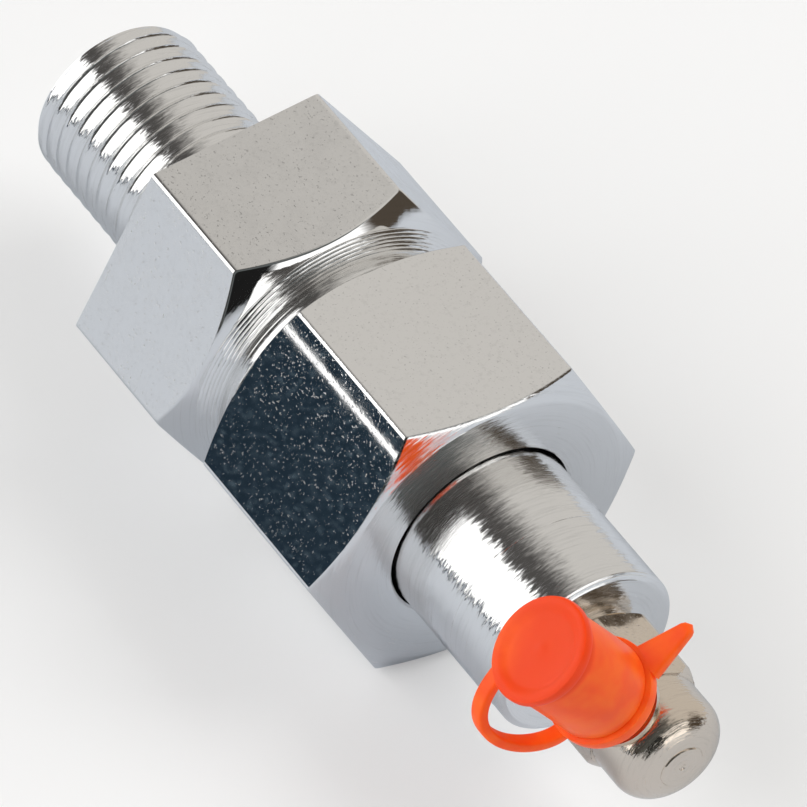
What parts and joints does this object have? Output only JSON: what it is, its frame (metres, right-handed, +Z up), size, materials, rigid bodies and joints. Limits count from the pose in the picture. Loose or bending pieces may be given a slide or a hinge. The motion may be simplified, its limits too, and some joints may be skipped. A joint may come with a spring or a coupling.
{
  "type": "grease nipple",
  "caption": "Swivelling grease nipple fitting: threaded hexagon stud, union nut, round barrel and an angled nipple with a soft dust cap.",
  "frame": {"origin": "on the main axis, at the stud hexagon's shoulder where its thread starts", "axes": "+X along the main axis from the stud thread to the nipple, +Z up with the fitting lying on its hexagons"},
  "size_m": [0.0771, 0.0295, 0.029],
  "materials": {
    "plated_steel": "bright zinc plate, machine marked",
    "nickel_plated_steel": "nickel plate, turned",
    "ball_steel": "polished",
    "seal_rubber": "matt",
    "cap_plastic": "soft translucent, satin"
  },
  "bodies": {
    "fitting": {"stud_body": "plated_steel", "union_nut": "plated_steel", "swivel_seal": "seal_rubber"},
    "barrel": {"swivel_barrel": "plated_steel", "nipple_body": "nickel_plated_steel", "nipple_head": "nickel_plated_steel", "valve_spring": "ball_steel"},
    "ball": {"valve_ball": "ball_steel"},
    "cap": {"dust_cap": "cap_plastic"}
  },
  "joints": [
    {"name": "barrel_swivel", "type": "hinge", "parent": "fitting", "child": "barrel", "pos_m": [0.0375, 0, 0], "axis": [1, 0, 0], "continuous": true},
    {"name": "ball_press", "type": "slide", "parent": "barrel", "child": "ball", "axis": [0, 0.6078, -0.7941], "range_m": [0, 0.0006], "stiffness_N_per_m": 1500, "springref_m": -0.001, "deforming": ["valve_spring"]},
    {"name": "cap_pull", "type": "slide", "parent": "barrel", "child": "cap", "axis": [0, -0.6078, 0.7941], "range_m": [0, 0.012]}
  ]
}
